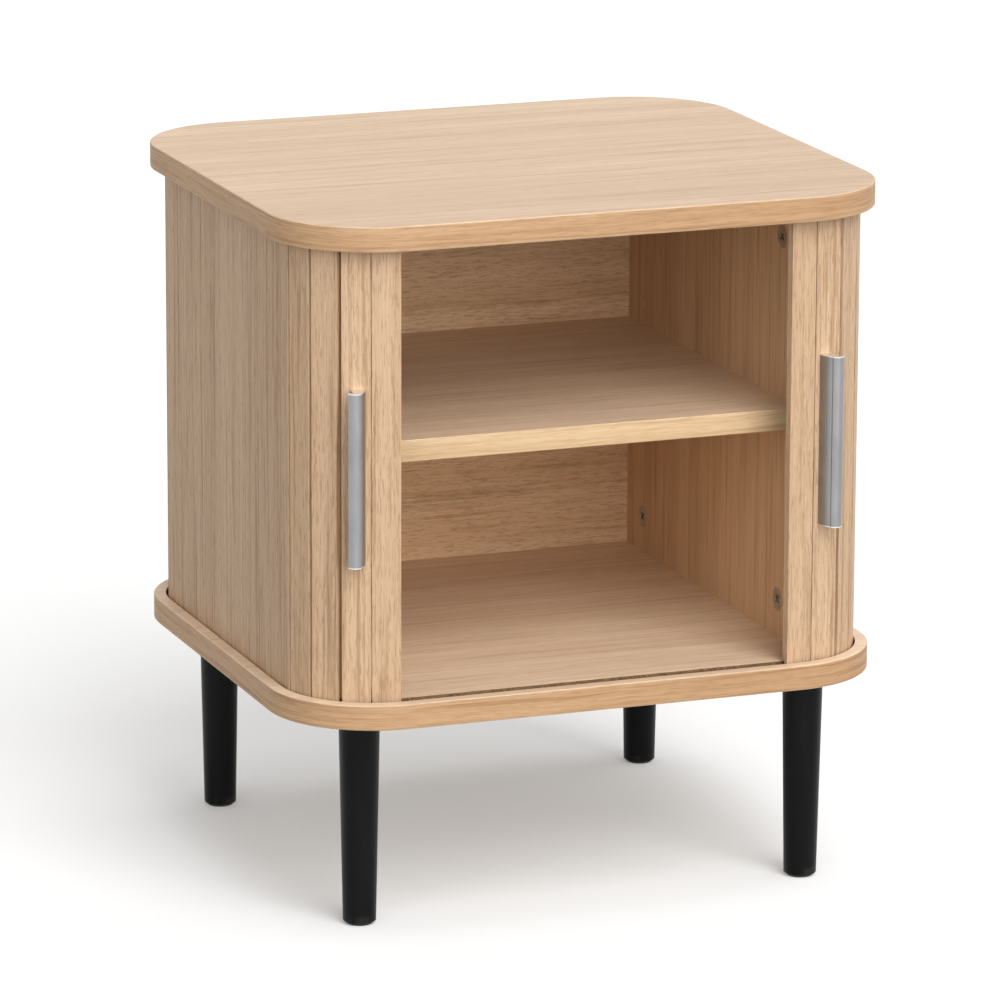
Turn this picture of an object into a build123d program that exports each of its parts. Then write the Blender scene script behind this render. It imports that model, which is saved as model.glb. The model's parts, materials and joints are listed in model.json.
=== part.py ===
from build123d import *
from math import atan2, ceil, cos, degrees, hypot, pi, sin, sqrt
import os

# Nightstand with a rounded top and bottom panel, one fixed shelf and two tambour doors of upright slats.
# Millimetres. The origin is on the floor under the middle of the cabinet, +X right, +Y to the back, +Z up.

# Overall size of the two panels
width = 400.0
depth = 360.0
corner_radius = 68.0
panel_thickness = 16.0
panel_edge_round = 1.0

# Heights
leg_height = 135.0
lower_bay_height = 142.0
shelf_thickness = 14.0
upper_bay_height = 129.0

# Inner box that stands between the two panels
side_inset = 38.5
side_thickness = 16.0
side_front_setback = 46.0
side_corner_clearance = 3.7
board_edge_round = 0.6
back_thickness = 3.0
back_margin = 4.5

# Tambour slats
slat_pitch = 18.6
slat_thickness = 5.0
slat_gap = 0.5
slat_inset = 8.8
slat_edge_round = 0.25
tongue_rebate = 1.8
tongue_shoulder = 0.7

# Groove that the slat ends run in
groove_width = 8.4
groove_depth = 6.0
groove_front_clearance = 1.0
slat_foot_clearance = 0.3
slat_head_clearance = 1.0

# Doors as they stand: distance of the leading edge from the middle of the front, and the travel each way
left_lead = 131.9
left_opening_travel = 4.0
left_closing_travel = 42.5
right_lead = 123.7
right_opening_travel = 6.0
right_closing_travel = 35.5

# Extruded pull on the second slat of each door
pull_length = 110.0
pull_projection = 14.0
pull_base_width = 8.6
pull_tip_thickness = 1.4
pull_neck_start = 2.6
pull_neck_width = 3.6
pull_lip_start = 2.0
pull_lip_width = 8.4
pull_lip_edge = 0.9
pull_lip_crown = 2.4
pull_offset = 3.6
pull_screw_spacing = 96.0
pull_screw_radius = 2.0
pull_screw_head_radius = 3.6
pull_screw_head_height = 1.8
pull_screw_depth = 7.0

# Legs and what holds them
leg_top_radius = 13.0
leg_foot_radius = 10.5
leg_foot_round = 1.2
leg_inset_side = 50.0
leg_inset_front = 41.5
hanger_bolt_radius = 4.0
hanger_bolt_in_leg = 30.0
hanger_bolt_in_panel = 10.0
insert_radius = 6.0
insert_length = 11.0
glide_radius = 8.5
glide_thickness = 3.5
glide_drop = 1.5
glide_round = 0.8

# Cam fittings and dowels between the inner sides and the panels
cam_radius = 7.5
cam_depth = 12.5
cam_edge_distance = 24.0
cam_end_inset = 28.0
cam_cross_length = 7.0
cam_cross_width = 1.6
cam_cross_depth = 2.4
cam_wall = 1.6
cam_bolt_radius = 3.0
cam_bolt_head_radius = 3.6
cam_bolt_head_length = 3.0
cam_bolt_thread = 10.0
cam_bolt_bore_radius = 4.0
dowel_radius = 4.0
dowel_length = 30.0
dowel_in_panel = 10.0
dowel_spacing = 32.0
hole_end_clearance = 0.5
fit_clearance = 0.05

# Shelf screws, back panel nails and the small pilot hole above the shelf
shelf_screw_radius = 2.5
shelf_screw_head_radius = 4.5
shelf_screw_head_height = 2.5
shelf_screw_length = 50.0
shelf_screw_end_inset = 50.0
nail_radius = 0.8
nail_length = 18.0
nail_head_radius = 2.2
nail_head_height = 0.8
nail_end_inset = 22.0
nails_per_side = 4
pilot_radius = 1.2
pilot_depth = 8.0
pilot_above_shelf = 14.0

# Levels worked out from the heights
bottom_panel_z = leg_height
floor_z = bottom_panel_z + panel_thickness
shelf_z = floor_z + lower_bay_height
shelf_top_z = shelf_z + shelf_thickness
ceiling_z = shelf_top_z + upper_bay_height
top_z = ceiling_z + panel_thickness
bay_height = ceiling_z - floor_z

# Places worked out for the tambour: the line that the slats hinge on runs along their backs
groove_outer_inset = slat_inset - groove_front_clearance
groove_inner_inset = groove_outer_inset + groove_width
hinge_inset = slat_inset + slat_thickness
hinge_radius = corner_radius - hinge_inset
straight_x = width / 2 - corner_radius
straight_y = depth / 2 - corner_radius
arc_length = hinge_radius * pi / 2
side_start = straight_x + arc_length
side_end = side_start + 2 * straight_y
slats_per_door = ceil(side_end / slat_pitch)
slat_bottom_z = floor_z - groove_depth + slat_foot_clearance
slat_top_z = ceiling_z + groove_depth - slat_head_clearance

# Places worked out for the inner box, whose rear corners stay clear of the slats that go round the back
side_outer_x = width / 2 - side_inset
side_middle_x = side_outer_x - side_thickness / 2
bay_width = 2 * (side_outer_x - side_thickness)
side_front_y = -depth / 2 + side_front_setback
side_rear_y = straight_y + sqrt((hinge_radius - side_corner_clearance) ** 2 - (side_outer_x - straight_x) ** 2)
cam_ys = (side_front_y + cam_end_inset, side_rear_y - cam_end_inset)
dowel_ys = (cam_ys[0] + dowel_spacing, cam_ys[1] - dowel_spacing)
shelf_screw_ys = (side_front_y + shelf_screw_end_inset, side_rear_y - shelf_screw_end_inset)
leg_x = width / 2 - leg_inset_side
leg_y = depth / 2 - leg_inset_front
leg_places = [(x, y) for y in (-leg_y, leg_y) for x in (-leg_x, leg_x)]


# Small helpers

def rod(origin, direction, radius, length):
    """A cylinder that starts at a point and runs along a direction."""
    cylinder = Cylinder(radius, length, align=(Align.CENTER, Align.CENTER, Align.MIN))
    return Plane(origin=origin, z_dir=direction) * cylinder


def cone(origin, direction, start_radius, end_radius, length):
    """A countersunk head or its seat."""
    shape = Cone(start_radius, end_radius, length, align=(Align.CENTER, Align.CENTER, Align.MIN))
    return Plane(origin=origin, z_dir=direction) * shape


def board(x_from, x_to, y_from, y_to, z_from, z_to):
    """A straight board between two corners."""
    block = Box(x_to - x_from, y_to - y_from, z_to - z_from, align=(Align.MIN, Align.MIN, Align.MIN))
    return Pos(x_from, y_from, z_from) * block


def outline(inset):
    """The panels' rounded outline, drawn a given distance inside their edge."""
    return RectangleRounded(width - 2 * inset, depth - 2 * inset, corner_radius - inset)


# Top and bottom panel

def slab(z):
    """A panel with its eased edge."""
    body = Pos(0, 0, z) * extrude(outline(0), panel_thickness)
    edges = body.edges().group_by(Axis.Z)
    return fillet(edges[0] + edges[-1], panel_edge_round)


def groove(z):
    """The routed ring that the slat ends run in."""
    ring = outline(groove_outer_inset) - outline(groove_inner_inset)
    return Pos(0, 0, z) * extrude(ring, groove_depth)


def joint_holes(face_z, into):
    """Holes in a panel's inner face for the cam bolts and the dowels."""
    holes = []
    for x in (-side_middle_x, side_middle_x):
        for y in cam_ys:
            depth_in = cam_bolt_thread + hole_end_clearance
            holes.append(rod((x, y, face_z), into, cam_bolt_radius + fit_clearance, depth_in))
        for y in dowel_ys:
            depth_in = dowel_in_panel + hole_end_clearance
            holes.append(rod((x, y, face_z), into, dowel_radius + fit_clearance, depth_in))
    return holes


def top_panel():
    panel = slab(ceiling_z) - groove(ceiling_z)
    return panel - joint_holes(ceiling_z, (0, 0, 1))


def bottom_panel():
    panel = slab(bottom_panel_z) - groove(floor_z - groove_depth)
    panel -= joint_holes(floor_z, (0, 0, -1))
    depth_in = insert_length + hole_end_clearance
    for x, y in leg_places:
        panel -= rod((x, y, bottom_panel_z), (0, 0, 1), insert_radius + fit_clearance, depth_in)
    return panel


# Inner box: two sides, shelf and thin back

def cam_places(hand):
    """Centres of the cams on one side's inner face, each with the way to its panel."""
    x = hand * bay_width / 2
    low = [((x, y, floor_z + cam_edge_distance), -1) for y in cam_ys]
    high = [((x, y, ceiling_z - cam_edge_distance), 1) for y in cam_ys]
    return low + high


def shelf_screw_places(hand):
    """Where the shelf screws enter the outer face of one side."""
    z = shelf_z + shelf_thickness / 2
    return [(hand * side_outer_x, y, z) for y in shelf_screw_ys]


def nail_places():
    """Where the nails enter the back panel's outer face."""
    y = side_rear_y + back_thickness
    step = (bay_height - 2 * nail_end_inset) / (nails_per_side - 1)
    heights = [floor_z + nail_end_inset + i * step for i in range(nails_per_side)]
    places = [(x, y, z) for x in (-side_middle_x, side_middle_x) for z in heights]
    for x in (-bay_width / 4, bay_width / 4):
        places.append((x, y, shelf_z + shelf_thickness / 2))
    return places


def nail_holes():
    return [rod(place, (0, -1, 0), nail_radius + fit_clearance, nail_length) for place in nail_places()]


def shelf_screw_hole(place, hand):
    """A countersunk hole from a side's outer face into the shelf."""
    radius = shelf_screw_radius + fit_clearance
    head = shelf_screw_head_radius + fit_clearance
    shank = rod(place, (-hand, 0, 0), radius, shelf_screw_length + hole_end_clearance)
    return shank + cone(place, (-hand, 0, 0), head, radius, shelf_screw_head_height)


def inner_side(hand):
    """One inner side: hand -1 is the left one, 1 the right one."""
    x_from, x_to = sorted((hand * bay_width / 2, hand * side_outer_x))
    side = board(x_from, x_to, side_front_y, side_rear_y, floor_z, ceiling_z)
    side = fillet(side.edges().filter_by(Axis.Z).group_by(Axis.Y)[0], board_edge_round)
    for (x, y, z), way in cam_places(hand):
        side -= rod((x, y, z), (hand, 0, 0), cam_radius + fit_clearance, cam_depth + fit_clearance)
        bore_x = hand * side_middle_x
        side -= rod((bore_x, y, z), (0, 0, way), cam_bolt_bore_radius, cam_edge_distance)
    dowel_depth = dowel_length - dowel_in_panel + hole_end_clearance
    for y in dowel_ys:
        for z, way in ((floor_z, 1), (ceiling_z, -1)):
            place = (hand * side_middle_x, y, z)
            side -= rod(place, (0, 0, way), dowel_radius + fit_clearance, dowel_depth)
    side -= [shelf_screw_hole(place, hand) for place in shelf_screw_places(hand)]
    pilot = (hand * bay_width / 2, cam_ys[1], shelf_top_z + pilot_above_shelf)
    side -= rod(pilot, (hand, 0, 0), pilot_radius, pilot_depth)
    return side - nail_holes()


def shelf():
    plate = board(-bay_width / 2, bay_width / 2, side_front_y, side_rear_y, shelf_z, shelf_top_z)
    plate = fillet(plate.edges().filter_by(Axis.X).group_by(Axis.Y)[0], board_edge_round)
    for hand in (-1, 1):
        plate -= [shelf_screw_hole(place, hand) for place in shelf_screw_places(hand)]
    return plate - nail_holes()


def back_panel():
    half = side_outer_x - back_margin
    rear_y = side_rear_y + back_thickness
    return board(-half, half, side_rear_y, rear_y, floor_z, ceiling_z) - nail_holes()


# Fittings of the inner box

def cam_lock(place, hand, way):
    """A cam with a cross recess, open towards its bolt."""
    x, y, z = place
    cam = rod(place, (hand, 0, 0), cam_radius, cam_depth)
    cross_arms = Box(cam_cross_length, cam_cross_width, 2 * cam_cross_depth)
    cross_arms += Box(cam_cross_width, cam_cross_length, 2 * cam_cross_depth)
    cam -= Plane(origin=place, z_dir=(hand, 0, 0)) * Rot(0, 0, 45) * cross_arms
    middle = (hand * side_middle_x, y, z - way * cam_bolt_head_length)
    reach = cam_radius + cam_bolt_head_length
    return cam - rod(middle, (0, 0, way), cam_bolt_head_radius + cam_wall / 4, reach)


def cam_bolt(place, hand, way):
    """A cam bolt from its thread in the panel to its head inside the cam."""
    x, y, z = place
    axis_x = hand * side_middle_x
    head = rod((axis_x, y, z - way * cam_bolt_head_length / 2), (0, 0, way), cam_bolt_head_radius, cam_bolt_head_length)
    head = fillet(head.edges(), cam_bolt_head_length / 4)
    neck = rod((axis_x, y, z), (0, 0, way), cam_bolt_radius * 0.75, cam_edge_distance)
    thread = rod((axis_x, y, z + way * cam_edge_distance), (0, 0, way), cam_bolt_radius, cam_bolt_thread)
    return head + neck + thread


def dowel(x, y, z, way):
    """A dowel with rounded ends that lies across the seam at z."""
    start = (x, y, z - way * dowel_in_panel)
    pin = rod(start, (0, 0, way), dowel_radius, dowel_length)
    return chamfer(pin.edges().filter_by(GeomType.CIRCLE), hole_end_clearance)


def shelf_screw(place, hand):
    shank = rod(place, (-hand, 0, 0), shelf_screw_radius, shelf_screw_length)
    return shank + cone(place, (-hand, 0, 0), shelf_screw_head_radius, shelf_screw_radius, shelf_screw_head_height)


def nail(place):
    x, y, z = place
    shank = rod(place, (0, -1, 0), nail_radius, nail_length - hole_end_clearance)
    return shank + rod(place, (0, 1, 0), nail_head_radius, nail_head_height)


# Legs

def leg(x, y):
    """A plain tapered leg, turned, with a bore for its bolt and a recess for its glide."""
    foot_z = glide_drop
    corner = leg_foot_round
    with BuildPart() as turned:
        with BuildSketch(Plane.XZ):
            with BuildLine():
                rise = Line((0, foot_z), (leg_foot_radius - corner, foot_z))
                bend = RadiusArc(rise @ 1, (leg_foot_radius, foot_z + corner), -corner)
                flank = Line(bend @ 1, (leg_top_radius, leg_height))
                Polyline(flank @ 1, (0, leg_height), rise @ 0)
            make_face()
        revolve(axis=Axis.Z)
    body = turned.part
    bore_depth = hanger_bolt_in_leg + hole_end_clearance
    body -= rod((0, 0, leg_height), (0, 0, -1), hanger_bolt_radius + fit_clearance, bore_depth)
    body -= rod((0, 0, 0), (0, 0, 1), glide_radius + fit_clearance, glide_thickness)
    return Pos(x, y, 0) * body


def hanger_bolt(x, y):
    """A headless bolt, half in the leg and half in the panel's insert."""
    start = (x, y, leg_height - hanger_bolt_in_leg)
    bolt = rod(start, (0, 0, 1), hanger_bolt_radius, hanger_bolt_in_leg + hanger_bolt_in_panel)
    return chamfer(bolt.edges().filter_by(GeomType.CIRCLE), 1.0)


def threaded_insert(x, y):
    """A flush threaded sleeve in the panel's underside."""
    sleeve = rod((x, y, bottom_panel_z), (0, 0, 1), insert_radius, insert_length)
    return sleeve - rod((x, y, bottom_panel_z), (0, 0, 1), hanger_bolt_radius + fit_clearance, insert_length)


def glide(x, y):
    disc = rod((x, y, 0), (0, 0, 1), glide_radius, glide_thickness)
    return fillet(disc.edges().group_by(Axis.Z)[0], glide_round)


# Tambour path

def path_point(s):
    """The point of the hinge line at distance s from the middle of the front, going round the left."""
    if s < straight_x:
        return (-s, -straight_y - hinge_radius)
    s -= straight_x
    if s < arc_length:
        turn = s / hinge_radius
        return (-straight_x - hinge_radius * sin(turn), -straight_y - hinge_radius * cos(turn))
    s -= arc_length
    if s < 2 * straight_y:
        return (-straight_x - hinge_radius, s - straight_y)
    s -= 2 * straight_y
    if s < arc_length:
        turn = s / hinge_radius
        return (-straight_x - hinge_radius * cos(turn), straight_y + hinge_radius * sin(turn))
    return (s - arc_length - straight_x, straight_y + hinge_radius)


def next_hinge(s, reach):
    """The place on the path that lies a straight distance further on, found by halving."""
    x0, y0 = path_point(s)
    low = s
    high = s + 1.5 * reach
    while high - low > 1e-7:
        middle = (low + high) / 2
        x, y = path_point(middle)
        if hypot(x - x0, y - y0) < reach:
            low = middle
        else:
            high = middle
    return low


def door_segments(lead):
    """Start and end of the stiff pair and then of each single slat, as distances along the path."""
    segments = [(lead, next_hinge(lead, 2 * slat_pitch))]
    while len(segments) < slats_per_door - 1:
        start = segments[-1][1]
        segments.append((start, next_hinge(start, slat_pitch)))
    return segments


def seat(segment):
    """The place of a slat: along it is local X, outwards is local Y."""
    x0, y0 = path_point(segment[0])
    x1, y1 = path_point(segment[1])
    return Pos(x0, y0, 0) * Rot(0, 0, degrees(atan2(y1 - y0, x1 - x0)))


# Slats and pulls, drawn flat along X with their backs on Y = 0

def slat(offset):
    """One slat with eased outer edges and thinner tongues that run in the grooves."""
    x_from = offset + slat_gap / 2
    x_to = offset + slat_pitch - slat_gap / 2
    body = board(x_from, x_to, 0, slat_thickness, slat_bottom_z, slat_top_z)
    outer_edges = body.edges().filter_by(Axis.Z).group_by(Axis.Y)[-1]
    body = fillet(outer_edges, slat_edge_round)
    body -= board(x_from, x_to, 0, tongue_rebate, slat_bottom_z, floor_z + tongue_shoulder)
    body -= board(x_from, x_to, 0, tongue_rebate, ceiling_z - tongue_shoulder, slat_top_z)
    return body


def pull_screw_places():
    """Where the two screws enter the back of the second slat."""
    x = slat_pitch + pull_offset + pull_neck_start + pull_neck_width / 2
    middle_z = (floor_z + ceiling_z) / 2
    return [(x, 0, middle_z + way * pull_screw_spacing / 2) for way in (-1, 1)]


def pull_slat():
    """The second slat, drilled and countersunk from behind."""
    body = slat(slat_pitch)
    radius = pull_screw_radius + fit_clearance
    head = pull_screw_head_radius + fit_clearance
    for place in pull_screw_places():
        body -= rod(place, (0, 1, 0), radius, slat_thickness)
        body -= cone(place, (0, 1, 0), head, radius, pull_screw_head_height)
    return body


def pull():
    """The extruded pull: a flat base, a curved neck and a crowned lip."""
    x = slat_pitch + pull_offset
    y = slat_thickness
    lip_y = y + pull_projection - pull_lip_crown - pull_lip_edge
    lip_x = x + pull_lip_start
    neck_x = x + pull_neck_start
    with BuildPart() as bar:
        with BuildSketch(Plane.XY.offset((floor_z + ceiling_z - pull_length) / 2)):
            with BuildLine():
                base = Line((x + pull_base_width, y), (x, y))
                tip = Line(base @ 1, (x, y + pull_tip_thickness))
                lead_side = SagittaArc(tip @ 1, (neck_x, lip_y), pull_neck_start / 3)
                lip_under = Line(lead_side @ 1, (lip_x, lip_y))
                lip_end = Line(lip_under @ 1, (lip_x, lip_y + pull_lip_edge))
                far = (lip_x + pull_lip_width, lip_y + pull_lip_edge)
                middle = (lip_x + pull_lip_width / 2, lip_y + pull_lip_edge + pull_lip_crown)
                crown = ThreePointArc(lip_end @ 1, middle, far)
                far_end = Line(crown @ 1, (far[0], lip_y))
                far_under = Line(far_end @ 1, (neck_x + pull_neck_width, lip_y))
                SagittaArc(far_under @ 1, base @ 0, pull_neck_start / 3)
            make_face()
        extrude(amount=pull_length)
    body = bar.part
    for px, py, pz in pull_screw_places():
        depth_in = pull_screw_depth + hole_end_clearance
        body -= rod((px, y, pz), (0, 1, 0), pull_screw_radius + fit_clearance, depth_in)
    return body


def pull_screws():
    """Two countersunk screws, flush with the back of the slat."""
    screws = []
    for place in pull_screw_places():
        shank = rod(place, (0, 1, 0), pull_screw_radius, slat_thickness + pull_screw_depth)
        head = cone(place, (0, 1, 0), pull_screw_head_radius, pull_screw_radius, pull_screw_head_height)
        screws.append(shank + head)
    return screws


def door_parts(name, lead, opening, closing):
    """All pieces of the left-hand door by name, placed along the path."""
    segments = door_segments(lead)
    pair = seat(segments[0])
    parts = {
        f"{name}_lead_slat": [pair * slat(0)],
        f"{name}_pull_slat": [pair * pull_slat()],
        f"{name}_pull": [pair * pull()],
        f"{name}_pull_screws": [pair * screw for screw in pull_screws()],
    }
    side_run = []
    for number, segment in enumerate(segments[1:], start=3):
        piece = seat(segment) * slat(0)
        if segment[0] - closing >= side_start and segment[1] + opening <= side_end:
            side_run.append(piece)
        else:
            parts[f"{name}_slat_{number:02d}"] = [piece]
    parts[f"{name}_side_slats"] = side_run
    return parts


# The whole cabinet

def all_parts():
    parts = {
        "top_panel": [top_panel()],
        "bottom_panel": [bottom_panel()],
        "left_inner_side": [inner_side(-1)],
        "right_inner_side": [inner_side(1)],
        "shelf": [shelf()],
        "back_panel": [back_panel()],
        "back_panel_nails": [nail(place) for place in nail_places()],
        "hanger_bolts": [hanger_bolt(x, y) for x, y in leg_places],
        "threaded_inserts": [threaded_insert(x, y) for x, y in leg_places],
        "leg_glides": [glide(x, y) for x, y in leg_places],
    }
    parts["cam_locks"] = []
    parts["cam_bolts"] = []
    parts["dowels"] = []
    parts["shelf_screws"] = []
    for hand in (-1, 1):
        for place, way in cam_places(hand):
            parts["cam_locks"].append(cam_lock(place, hand, way))
            parts["cam_bolts"].append(cam_bolt(place, hand, way))
        for y in dowel_ys:
            parts["dowels"].append(dowel(hand * side_middle_x, y, floor_z, 1))
            parts["dowels"].append(dowel(hand * side_middle_x, y, ceiling_z, -1))
        for place in shelf_screw_places(hand):
            parts["shelf_screws"].append(shelf_screw(place, hand))
    for name, place in zip(("front_left", "front_right", "rear_left", "rear_right"), leg_places):
        parts[f"{name}_leg"] = [leg(*place)]
    parts.update(door_parts("left", left_lead, left_opening_travel, left_closing_travel))
    right = door_parts("right", right_lead, right_opening_travel, right_closing_travel)
    for name, solids in right.items():
        parts[name] = [solid.mirror(Plane.YZ) for solid in solids]
    return parts


os.makedirs("parts", exist_ok=True)
for name, solids in all_parts().items():
    shape = solids[0] if len(solids) == 1 else Compound(solids)
    export_step(shape, f"parts/{name}.step")
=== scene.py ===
import json
import math

import bmesh
import bpy
from mathutils import Matrix, Vector


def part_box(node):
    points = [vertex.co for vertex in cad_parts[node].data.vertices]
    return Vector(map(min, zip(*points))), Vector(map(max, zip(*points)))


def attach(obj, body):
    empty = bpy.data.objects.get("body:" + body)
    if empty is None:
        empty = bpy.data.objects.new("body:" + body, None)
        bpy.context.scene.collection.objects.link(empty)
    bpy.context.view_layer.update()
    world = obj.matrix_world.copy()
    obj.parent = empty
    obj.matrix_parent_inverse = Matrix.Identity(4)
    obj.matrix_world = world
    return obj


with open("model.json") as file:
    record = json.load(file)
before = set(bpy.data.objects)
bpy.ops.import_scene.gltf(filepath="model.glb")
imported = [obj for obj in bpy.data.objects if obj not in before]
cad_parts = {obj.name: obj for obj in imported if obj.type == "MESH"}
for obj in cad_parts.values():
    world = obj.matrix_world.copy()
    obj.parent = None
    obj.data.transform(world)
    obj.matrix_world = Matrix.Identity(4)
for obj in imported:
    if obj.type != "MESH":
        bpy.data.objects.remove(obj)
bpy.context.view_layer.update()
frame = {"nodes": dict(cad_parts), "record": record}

# Nightstand in light oak with two tambour doors, aluminium pulls and black tapered legs.
# Metres. The origin is on the floor under the middle of the cabinet, +X right, +Y to the back, +Z up.

# Tambour backing cloth
SLAT_PITCH = 0.0186
CLOTH_JOINT = 0.0012
CLOTH_THICKNESS = 0.0004
CLOTH_MARGIN = 0.0012

# Outline of the panels and the heights of their faces and grooves
HALF_WIDTH = 0.2
HALF_DEPTH = 0.18
CORNER_RADIUS = 0.068
BOTTOM_PANEL = (0.135, 0.151)
TOP_PANEL = (0.436, 0.452)
GROOVE_DEPTH = 0.006
FACE_MARGIN = 0.0004
EDGE_BAND = 0.003

# How far the rims' painted highlight and wear, the legs' foot wear and the cut ends reach
RIM_HIGHLIGHT_AND_WEAR = 0.0009
RUBBED_FOOT = 0.004
LEG_FOOT = 0.0035
CUT_END = 0.0008

# Slat ends: height of the shoulder over the bottom panel, and the shoulder's least and greatest width
SLAT_SHOULDER = 0.0007
SHOULDER_WIDTHS = (0.015, 0.0185)

# Threads of the cloth, in radians per metre
WEAVE = 6000.0


# Small helpers for node trees

def linear(red, green, blue):
    """A screen colour of 0 to 255 as the plain light values that shaders take."""
    parts = []
    for value in (red, green, blue):
        share = value / 255
        parts.append(share / 12.92 if share <= 0.04045 else ((share + 0.055) / 1.055) ** 2.4)
    return (*parts, 1.0)


def add(tree, kind, inputs=None, **settings):
    """Adds a node. Inputs are plain values or the sockets that feed them."""
    node = tree.nodes.new(kind)
    for name, value in settings.items():
        setattr(node, name, value)
    for key, value in (inputs or {}).items():
        if isinstance(value, bpy.types.NodeSocket):
            tree.links.new(value, node.inputs[key])
        else:
            node.inputs[key].default_value = value
    return node


def math_node(tree, operation, first, second=0.0, third=0.0):
    return add(tree, "ShaderNodeMath", {0: first, 1: second, 2: third}, operation=operation).outputs[0]


def scaled(tree, vector, factors):
    node = add(tree, "ShaderNodeVectorMath", {0: vector, 1: factors}, operation="MULTIPLY")
    return node.outputs[0]


def noise(tree, vector, scale, detail=2.0, roughness=0.5):
    node = add(tree, "ShaderNodeTexNoise", {"Vector": vector, "Scale": scale, "Detail": detail, "Roughness": roughness})
    return node.outputs["Fac"]


def stretched(tree, value, low, high, new_low=0.0, new_high=1.0):
    """Maps a value from one range to another, held at its ends."""
    keys = {"Value": value, "From Min": low, "From Max": high, "To Min": new_low, "To Max": new_high}
    return add(tree, "ShaderNodeMapRange", keys, clamp=True).outputs["Result"]


def blended(tree, factor, first, second, mode="MIX"):
    keys = {"Factor": factor, 6: first, 7: second}
    return add(tree, "ShaderNodeMix", keys, data_type="RGBA", blend_type=mode).outputs[2]


def new_material(name):
    """A material with an empty tree, its shader and the object's own coordinates."""
    material = bpy.data.materials.new(name)
    material.use_nodes = True
    tree = material.node_tree
    tree.nodes.clear()
    shader = add(tree, "ShaderNodeBsdfPrincipled")
    add(tree, "ShaderNodeOutputMaterial", {"Surface": shader.outputs[0]})
    place = add(tree, "ShaderNodeTexCoord")
    return material, tree, shader, place


def bump(tree, shader, height, strength, distance):
    node = add(tree, "ShaderNodeBump", {"Height": height, "Strength": strength, "Distance": distance})
    tree.links.new(node.outputs[0], shader.inputs["Normal"])


# Finishes

def wood_tone(tree, coordinates, along, tones, streaks, pores, waviness, pore_stretch):
    """Colour and height of oak. Tones are its light, middle and dark colours, along is the way of the grain."""
    light, middle, dark = (linear(*tone) for tone in tones)
    slow = add(tree, "ShaderNodeTexNoise", {"Vector": coordinates, "Scale": 9.0, "Detail": 2.0}).outputs["Color"]
    quick = add(tree, "ShaderNodeTexNoise", {"Vector": coordinates, "Scale": 160.0, "Detail": 1.0}).outputs["Color"]
    wander = coordinates
    for shift, reach in ((slow, 0.006), (quick, 0.0011)):
        keys = {0: scaled(tree, shift, (reach * waviness,) * 3), 1: wander}
        wander = add(tree, "ShaderNodeVectorMath", keys, operation="ADD").outputs[0]
    grain = scaled(tree, wander, tuple(0.02 if axis in along else 1.0 for axis in "XYZ"))
    flecks = scaled(tree, wander, tuple(pore_stretch if axis in along else 1.0 for axis in "XYZ"))
    band = stretched(tree, noise(tree, grain, 48.0, 2.0), 0.36, 0.66)
    line = stretched(tree, noise(tree, grain, 330.0, 4.0, 0.65), 0.5, 0.68)
    fibre = stretched(tree, noise(tree, grain, 950.0, 2.0, 0.6), 0.35, 0.7)
    pore = stretched(tree, noise(tree, flecks, 1300.0, 1.0, 0.6), 0.54, 0.64)
    colour = blended(tree, band, middle, light)
    colour = blended(tree, math_node(tree, "MULTIPLY", fibre, 0.25), colour, dark)
    colour = blended(tree, math_node(tree, "MULTIPLY", line, streaks), colour, dark)
    colour = blended(tree, math_node(tree, "MULTIPLY", pore, pores), colour, dark)
    height = math_node(tree, "MULTIPLY_ADD", pore, -0.7, math_node(tree, "MULTIPLY", fibre, 0.4))
    return colour, height, fibre


def near(tree, value, places, reach):
    """One where a value lies at one of some places, fading to zero at the reach."""
    mask = None
    for position in places:
        gap = math_node(tree, "ABSOLUTE", math_node(tree, "SUBTRACT", value, position))
        spot = stretched(tree, gap, reach * 0.3, reach, 1.0, 0.0)
        mask = spot if mask is None else math_node(tree, "MAXIMUM", mask, spot)
    return mask


def past(tree, value, limit):
    """How far a value lies beyond a limit on either side of zero, and zero within it."""
    over = math_node(tree, "SUBTRACT", math_node(tree, "ABSOLUTE", value), limit)
    return math_node(tree, "MAXIMUM", over, 0.0)


def oak(name, along, tones, streaks=0.45, pores=0.4, waviness=1.0, pore_stretch=0.1):
    """Light oak foil with its grain along one axis."""
    material, tree, shader, place = new_material(name)
    coordinates = place.outputs["Object"]
    colour, height, fibre = wood_tone(tree, coordinates, along, tones, streaks, pores, waviness, pore_stretch)
    tree.links.new(colour, shader.inputs["Base Color"])
    tree.links.new(stretched(tree, fibre, 0.0, 1.0, 0.52, 0.42), shader.inputs["Roughness"])
    shader.inputs["Specular IOR Level"].default_value = 0.15
    bump(tree, shader, height, 0.3, 0.00015)
    return material


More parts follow.
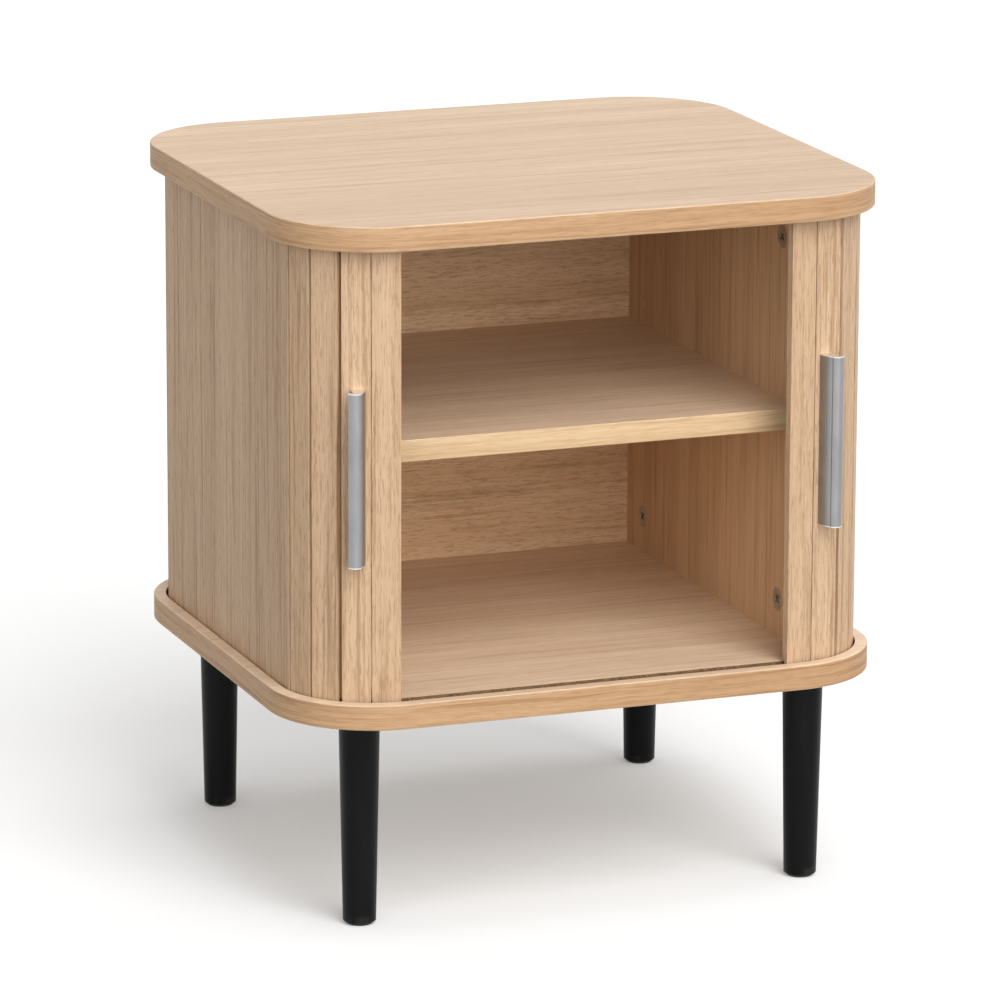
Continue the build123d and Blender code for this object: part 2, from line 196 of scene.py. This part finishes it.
def oak_panel(name, tones, edge_tones, rims=(), core=()):
    """Oak faces with a streakier edge band. Rims are heights of rounded corners that get a pale painted highlight,
    broken up as wear; core spans show raw board, painted darker as shade in the grooves.
    """
    material, tree, shader, place = new_material(name)
    coordinates = place.outputs["Object"]
    face, face_height, fibre = wood_tone(tree, coordinates, "X", tones, 0.4, 0.22, 0.4, 0.05)
    band, band_height, _ = wood_tone(tree, coordinates, "XY", edge_tones, 0.6, 0.25, 0.6, 0.06)
    facing = add(tree, "ShaderNodeSeparateXYZ", {0: place.outputs["Normal"]}).outputs["Z"]
    flat = stretched(tree, math_node(tree, "ABSOLUTE", facing), 0.6, 0.8)
    colour = blended(tree, flat, band, face)
    x, y, z = add(tree, "ShaderNodeSeparateXYZ", {0: coordinates}).outputs
    if rims:
        # Pale line on the rim edges: a painted highlight where the rounded edges catch the light, broken into patches
        # as wear.
        patchy = stretched(tree, noise(tree, coordinates, 70.0, 4.0, 0.6), 0.35, 0.6, 0.15, 0.6)
        highlight_and_wear = math_node(tree, "MULTIPLY", near(tree, z, rims, RIM_HIGHLIGHT_AND_WEAR), patchy)
        highlight_and_wear = math_node(tree, "MULTIPLY", highlight_and_wear, math_node(tree, "SUBTRACT", 1.0, flat))
        colour = blended(tree, highlight_and_wear, colour, linear(238, 219, 194))
    if core:
        beyond_x = past(tree, x, HALF_WIDTH - CORNER_RADIUS)
        beyond_y = past(tree, y, HALF_DEPTH - CORNER_RADIUS)
        squared = math_node(tree, "MULTIPLY", beyond_y, beyond_y)
        reach = math_node(tree, "SQRT", math_node(tree, "MULTIPLY_ADD", beyond_x, beyond_x, squared))
        inside = math_node(tree, "LESS_THAN", reach, CORNER_RADIUS - EDGE_BAND)
        cut = None
        for low, high in core:
            above = math_node(tree, "GREATER_THAN", z, low)
            span = math_node(tree, "MULTIPLY", above, math_node(tree, "LESS_THAN", z, high))
            cut = span if cut is None else math_node(tree, "MAXIMUM", cut, span)
        # Groove faces get a raw board colour, painted extra dark as the shade of the recess.
        chips = noise(tree, coordinates, 700.0, 3.0, 0.65)
        groove_board_and_shade = blended(tree, stretched(tree, chips, 0.35, 0.65), linear(104, 78, 54), linear(150, 120, 88))
        colour = blended(tree, math_node(tree, "MULTIPLY", inside, cut), colour, groove_board_and_shade)
    tree.links.new(colour, shader.inputs["Base Color"])
    tree.links.new(stretched(tree, fibre, 0.0, 1.0, 0.5, 0.4), shader.inputs["Roughness"])
    tree.links.new(stretched(tree, flat, 0.0, 1.0, 0.15, 0.4), shader.inputs["Specular IOR Level"])
    height = add(tree, "ShaderNodeMix", {"Factor": flat, 2: band_height, 3: face_height}).outputs[0]
    bump(tree, shader, height, 0.25, 0.00012)
    return material


def brushed_metal(name, colour, roughness, along, scratch=0.2, cut_ends=()):
    """Satin metal with fine lines along one axis. Cut ends are heights where the bright sawn face shows."""
    material, tree, shader, place = new_material(name)
    coordinates = place.outputs["Object"]
    stretch = tuple(0.02 if axis in along else 1.0 for axis in "XYZ")
    lines = noise(tree, scaled(tree, coordinates, stretch), 2500.0, 3.0, 0.7)
    cloud = noise(tree, coordinates, 60.0, 2.0)
    shade = math_node(tree, "MULTIPLY_ADD", lines, 0.35, cloud)
    low = linear(*[0.93 * part for part in colour])
    tint = blended(tree, stretched(tree, shade, 0.4, 0.9), low, linear(*colour))
    if cut_ends:
        height = add(tree, "ShaderNodeSeparateXYZ", {0: coordinates}).outputs["Z"]
        tint = blended(tree, near(tree, height, cut_ends, CUT_END), tint, linear(236, 236, 236))
    tree.links.new(tint, shader.inputs["Base Color"])
    tree.links.new(stretched(tree, lines, 0.3, 0.7, roughness - 0.06, roughness + 0.06), shader.inputs["Roughness"])
    shader.inputs["Metallic"].default_value = 1.0
    bump(tree, shader, lines, scratch, 0.00005)
    return material


def black_lacquer():
    """Sprayed black lacquer over turned wood, a little softer where it has been knocked."""
    material, tree, shader, place = new_material("black_lacquer")
    peel = noise(tree, place.outputs["Object"], 420.0, 2.0)
    wear = noise(tree, scaled(tree, place.outputs["Object"], (1.0, 1.0, 0.15)), 90.0, 4.0, 0.65)
    tint = blended(tree, stretched(tree, wear, 0.5, 0.8), linear(6, 6, 7), linear(15, 15, 16))
    foot = add(tree, "ShaderNodeSeparateXYZ", {0: place.outputs["Object"]}).outputs["Z"]
    patchy = stretched(tree, wear, 0.45, 0.6, 0.0, 0.5)
    rubbed = math_node(tree, "MULTIPLY", near(tree, foot, (LEG_FOOT,), RUBBED_FOOT), patchy)
    tint = blended(tree, rubbed, tint, linear(52, 48, 44))
    tree.links.new(tint, shader.inputs["Base Color"])
    tree.links.new(stretched(tree, wear, 0.3, 0.75, 0.3, 0.42), shader.inputs["Roughness"])
    shader.inputs["Specular IOR Level"].default_value = 0.12
    bump(tree, shader, peel, 0.12, 0.0001)
    return material


def moulded_nylon():
    material, tree, shader, place = new_material("glide_nylon")
    grit = noise(tree, place.outputs["Object"], 1800.0, 3.0, 0.6)
    tint = blended(tree, grit, linear(20, 20, 20), linear(34, 34, 34))
    tree.links.new(tint, shader.inputs["Base Color"])
    tree.links.new(stretched(tree, grit, 0.3, 0.7, 0.5, 0.65), shader.inputs["Roughness"])
    bump(tree, shader, grit, 0.3, 0.0001)
    return material


def canvas():
    """The plain woven cotton that is glued to the backs of the slats."""
    material, tree, shader, place = new_material("backing_canvas")
    spread = place.outputs["Object"]
    parts = add(tree, "ShaderNodeSeparateXYZ", {0: spread})
    width = math_node(tree, "ADD", parts.outputs["X"], parts.outputs["Y"])
    warp = math_node(tree, "SINE", math_node(tree, "MULTIPLY", width, WEAVE))
    weft = math_node(tree, "SINE", math_node(tree, "MULTIPLY", parts.outputs["Z"], WEAVE))
    weave = math_node(tree, "MULTIPLY_ADD", math_node(tree, "MULTIPLY", warp, weft), 0.5, 0.5)
    slub = noise(tree, scaled(tree, spread, (1.0, 1.0, 6.0)), 260.0, 3.0)
    shade = math_node(tree, "MULTIPLY_ADD", weave, 0.4, slub)
    tint = blended(tree, stretched(tree, shade, 0.3, 1.1), linear(150, 138, 118), linear(205, 194, 172))
    tree.links.new(tint, shader.inputs["Base Color"])
    shader.inputs["Roughness"].default_value = 0.9
    bump(tree, shader, weave, 0.4, 0.0002)
    return material


foil = ((216, 190, 162), (204, 176, 147), (150, 114, 80))
banding = ((210, 174, 136), (192, 154, 116), (142, 100, 64))
slat_tones = ((216, 185, 153), (205, 173, 140), (140, 102, 70))
rims = (*BOTTOM_PANEL, *TOP_PANEL)
grooves = (
    (BOTTOM_PANEL[1] - GROOVE_DEPTH - FACE_MARGIN, BOTTOM_PANEL[1] - FACE_MARGIN),
    (TOP_PANEL[0] + FACE_MARGIN, TOP_PANEL[0] + GROOVE_DEPTH + FACE_MARGIN),
)
panel_oak = oak_panel("oak_panel", foil, banding, rims, grooves)
# The faces of the bottom panel and shelf, the inner sides and the back are written brighter than the same oak on the
# doors and top. This is painted light. It stands in for light that the lamps here bring too little into the bays, so
# under other lamps these boards look paler.
foil_with_painted_light = ((238, 214, 186), (228, 201, 172), (176, 138, 102))
base_oak = oak_panel("oak_base_painted_light", foil_with_painted_light, banding, rims, grooves)
board_oak = oak_panel("oak_board_painted_light", foil_with_painted_light, ((230, 202, 164), (212, 180, 140), (176, 134, 92)))
# Inner sides: tones brightened as painted light, as above.
upright_oak = oak("oak_upright_painted_light", "Z", ((228, 194, 156), (217, 181, 142), (165, 123, 88)), 0.6, 0.15, 0.3, 0.03)
slat_oak = oak("oak_slat", "Z", slat_tones, 0.62, 0.36, 0.55, 0.07)
# Back panel: tones brightened as painted light, as above.
back_oak = oak("oak_back_painted_light", "X", ((240, 207, 168), (230, 194, 154), (170, 128, 92)), 0.5, 0.45, 1.0, 0.08)
beech = oak("beech_pin", "Z", ((222, 190, 150), (210, 175, 134), (190, 152, 112)), 0.3, 0.3)
pull_ends = (*(box[2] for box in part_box("left_pull")), *(box[2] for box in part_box("right_pull")))
aluminium = brushed_metal("satin_aluminium", (154, 154, 156), 0.36, "Z", cut_ends=pull_ends)
zinc = brushed_metal("zinc_plate", (198, 192, 184), 0.42, "X", 0.1)
lacquer = black_lacquer()
nylon = moulded_nylon()
cloth = canvas()

finishes = {
    "top_panel": panel_oak,
    "bottom_panel": base_oak,
    "shelf": board_oak,
    "left_inner_side": upright_oak,
    "right_inner_side": upright_oak,
    "back_panel": back_oak,
    "dowels": beech,
    "left_pull": aluminium,
    "right_pull": aluminium,
    "leg_glides": nylon,
}


def finish_for(node):
    """The finish of a CAD node by its name."""
    if node in finishes:
        return finishes[node]
    if node.endswith("_leg"):
        return lacquer
    if "slat" in node:
        return slat_oak
    return zinc


for node, piece in frame["nodes"].items():
    for slot in piece.material_slots:
        slot.material = finish_for(node)
    if not piece.material_slots:
        piece.data.materials.append(finish_for(node))


# Backing cloth on the slats

def islands(mesh):
    """The separate shells of a mesh, each as a list of points."""
    work = bmesh.new()
    work.from_mesh(mesh)
    bmesh.ops.remove_doubles(work, verts=work.verts, dist=1e-6)
    left = set(work.verts)
    shells = []
    while left:
        queue = [left.pop()]
        shell = []
        while queue:
            point = queue.pop()
            shell.append(point.co.copy())
            for edge in point.link_edges:
                other = edge.other_vert(point)
                if other in left:
                    left.remove(other)
                    queue.append(other)
        shells.append(shell)
    work.free()
    return shells


def slat_back(shell, shoulder):
    """The middle of a slat's back at mid height and the way along its width, read from its shoulder."""
    corners = [point for point in shell if abs(point.z - shoulder) < 2e-4]
    narrow, wide = SHOULDER_WIDTHS
    turned = [a - b for a in corners for b in corners if narrow < (a - b).length < wide]
    along = min(turned, key=lambda gap: gap.length).normalized()
    inward = Vector((-along.y, along.x, 0.0))
    middle = sum(corners, Vector()) / len(corners)
    if inward.dot(Vector((0, 0, shoulder)) - middle) < 0:
        inward = -inward
    depth = max(inward.dot(point - middle) for point in corners)
    return middle + inward * depth, math.atan2(along.y, along.x), inward


def cloth_tree():
    """A strip of cloth on every point, turned to lie on its slat."""
    tree = bpy.data.node_groups.new("backing_cloth", "GeometryNodeTree")
    face = tree.interface
    face.new_socket("Geometry", in_out="INPUT", socket_type="NodeSocketGeometry")
    for name in ("Strip width", "Cloth thickness", "Strip height"):
        face.new_socket(name, in_out="INPUT", socket_type="NodeSocketFloat")
    face.new_socket("Cloth", in_out="INPUT", socket_type="NodeSocketMaterial")
    face.new_socket("Geometry", in_out="OUTPUT", socket_type="NodeSocketGeometry")
    enter = add(tree, "NodeGroupInput")
    sizes = {0: enter.outputs["Strip width"], 1: enter.outputs["Cloth thickness"], 2: enter.outputs["Strip height"]}
    size = add(tree, "ShaderNodeCombineXYZ", sizes)
    strip = add(tree, "GeometryNodeMeshCube", {"Size": size.outputs[0], "Vertices X": 4, "Vertices Z": 12})
    turn = add(tree, "GeometryNodeInputNamedAttribute", {"Name": "turn"}, data_type="FLOAT")
    turned = add(tree, "ShaderNodeCombineXYZ", {2: turn.outputs[0]})
    keys = {"Points": enter.outputs["Geometry"], "Instance": strip.outputs["Mesh"], "Rotation": turned.outputs[0]}
    placed = add(tree, "GeometryNodeInstanceOnPoints", keys)
    real = add(tree, "GeometryNodeRealizeInstances", {0: placed.outputs[0]})
    dressed = add(tree, "GeometryNodeSetMaterial", {"Geometry": real.outputs[0], "Material": enter.outputs["Cloth"]})
    add(tree, "NodeGroupOutput", {0: dressed.outputs[0]})
    return tree


def made_plain(name, points, attributes, tree, values):
    """Runs a tree on a set of points and keeps the result as a plain mesh object."""
    mesh = bpy.data.meshes.new(name)
    mesh.from_pydata(points, [], [])
    for key, numbers in attributes.items():
        mesh.attributes.new(key, "FLOAT", "POINT").data.foreach_set("value", numbers)
    piece = bpy.data.objects.new(name, mesh)
    bpy.context.collection.objects.link(piece)
    modifier = piece.modifiers.new("make", "NODES")
    modifier.node_group = tree
    for item in tree.interface.items_tree:
        if item.in_out == "INPUT" and item.name in values:
            modifier[item.identifier] = values[item.name]
    ready = piece.evaluated_get(bpy.context.evaluated_depsgraph_get())
    plain = bpy.data.meshes.new_from_object(ready)
    piece.modifiers.clear()
    piece.data = plain
    return piece


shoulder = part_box("bottom_panel")[1][2] + SLAT_SHOULDER
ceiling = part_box("back_panel")[1][2]
floor_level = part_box("back_panel")[0][2]
cloth_maker = cloth_tree()
for body, details in frame["record"]["behaviour"]["bodies"].items():
    slats = [node for node in details if "slat" in node]
    if not slats:
        continue
    points = []
    turns = []
    for node in slats:
        for shell in islands(frame["nodes"][node].data):
            middle, turn, inward = slat_back(shell, shoulder)
            middle = middle + inward * (CLOTH_THICKNESS / 2)
            points.append((middle.x, middle.y, (floor_level + ceiling) / 2))
            turns.append(turn)
    sizes = {
        "Strip width": SLAT_PITCH - CLOTH_JOINT,
        "Cloth thickness": CLOTH_THICKNESS,
        "Strip height": ceiling - floor_level - 2 * CLOTH_MARGIN,
        "Cloth": cloth,
    }
    piece = made_plain(f"{body}_backing_cloth", points, {"turn": turns}, cloth_maker, sizes)
    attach(piece, body)


# Floor, lamps and camera

def seen_directly(tree):
    """One for the camera, mirror reflections and what shows through glass, zero for scattered light."""
    rays = add(tree, "ShaderNodeLightPath")
    seen = math_node(tree, "MAXIMUM", rays.outputs["Is Camera Ray"], rays.outputs["Is Glossy Ray"])
    return math_node(tree, "MAXIMUM", seen, rays.outputs["Is Transmission Ray"])


def white_floor():
    material, tree, shader, place = new_material("studio_floor")
    seen = seen_directly(tree)
    paper = blended(tree, seen, (0.4, 0.4, 0.4, 1.0), (0.79, 0.795, 0.8, 1.0))
    tree.links.new(paper, shader.inputs["Base Color"])
    shader.inputs["Emission Color"].default_value = (1.0, 1.0, 1.0, 1.0)
    tree.links.new(math_node(tree, "MULTIPLY", seen, 0.2), shader.inputs["Emission Strength"])
    shader.inputs["Roughness"].default_value = 1.0
    shader.inputs["Specular IOR Level"].default_value = 0.0
    mesh = bpy.data.meshes.new("studio_floor")
    reach = 20.0
    corners = [(-reach, -reach, 0), (reach, -reach, 0), (reach, reach, 0), (-reach, reach, 0)]
    mesh.from_pydata(corners, [], [(0, 1, 2, 3)])
    mesh.materials.append(material)
    floor = bpy.data.objects.new("studio_floor", mesh)
    bpy.context.collection.objects.link(floor)


def sun(name, towards, strength, angle):
    """A far soft lamp. Towards points from the object to the lamp."""
    lamp = bpy.data.lights.new(name, "SUN")
    lamp.energy = strength
    lamp.angle = math.radians(angle)
    holder = bpy.data.objects.new(name, lamp)
    holder.rotation_euler = Vector(towards).to_track_quat("Z", "Y").to_euler()
    bpy.context.collection.objects.link(holder)


def surroundings(fill):
    """An even fill, and a plain white background for the camera and for reflections."""
    world = bpy.data.worlds.new("studio")
    world.use_nodes = True
    tree = world.node_tree
    tree.nodes.clear()
    seen = seen_directly(tree)
    soft = add(tree, "ShaderNodeBackground", {"Color": (1.0, 0.985, 0.955, 1.0), "Strength": fill})
    white = add(tree, "ShaderNodeBackground", {"Color": (1.0, 1.0, 1.0, 1.0), "Strength": 1.0})
    both = add(tree, "ShaderNodeMixShader", {0: seen, 1: soft.outputs[0], 2: white.outputs[0]})
    add(tree, "ShaderNodeOutputWorld", {"Surface": both.outputs[0]})
    bpy.context.scene.world = world


def photo_camera():
    """The camera at the photograph's angle."""
    yaw, pitch, roll = (math.radians(angle) for angle in (20.7489, 13.9762, 0.2295))
    forward = Vector((math.sin(yaw) * math.cos(pitch), math.cos(yaw) * math.cos(pitch), -math.sin(pitch)))
    level = Vector((math.cos(yaw), -math.sin(yaw), 0.0))
    upright = level.cross(forward)
    right = level * math.cos(roll) + upright * math.sin(roll)
    up = upright * math.cos(roll) - level * math.sin(roll)
    target = Vector((-0.0044227, 0.0, 0.228061))
    lens = bpy.data.cameras.new("camera")
    lens.lens = 237.608
    lens.sensor_width = 36.0
    lens.clip_end = 100.0
    holder = bpy.data.objects.new("camera", lens)
    turn = Matrix((right, up, -forward)).transposed().to_4x4()
    holder.matrix_world = Matrix.Translation(target - forward * 4.2591327) @ turn
    bpy.context.collection.objects.link(holder)
    bpy.context.scene.camera = holder


white_floor()
surroundings(0.33)
sun("front_lamp", (0.12, -0.95, 0.32), 1.35, 45.0)
sun("left_front_lamp", (-0.6, -0.75, 0.3), 0.7, 50.0)
sun("high_lamp", (0.1, -0.62, 0.78), 1.6, 40.0)
sun("overhead_lamp", (0.1, 0.1, 1.0), 0.55, 35.0)
sun("right_lamp", (0.75, -0.1, 0.8), 0.3, 40.0)
photo_camera()
bpy.context.scene.view_settings.view_transform = "Standard"
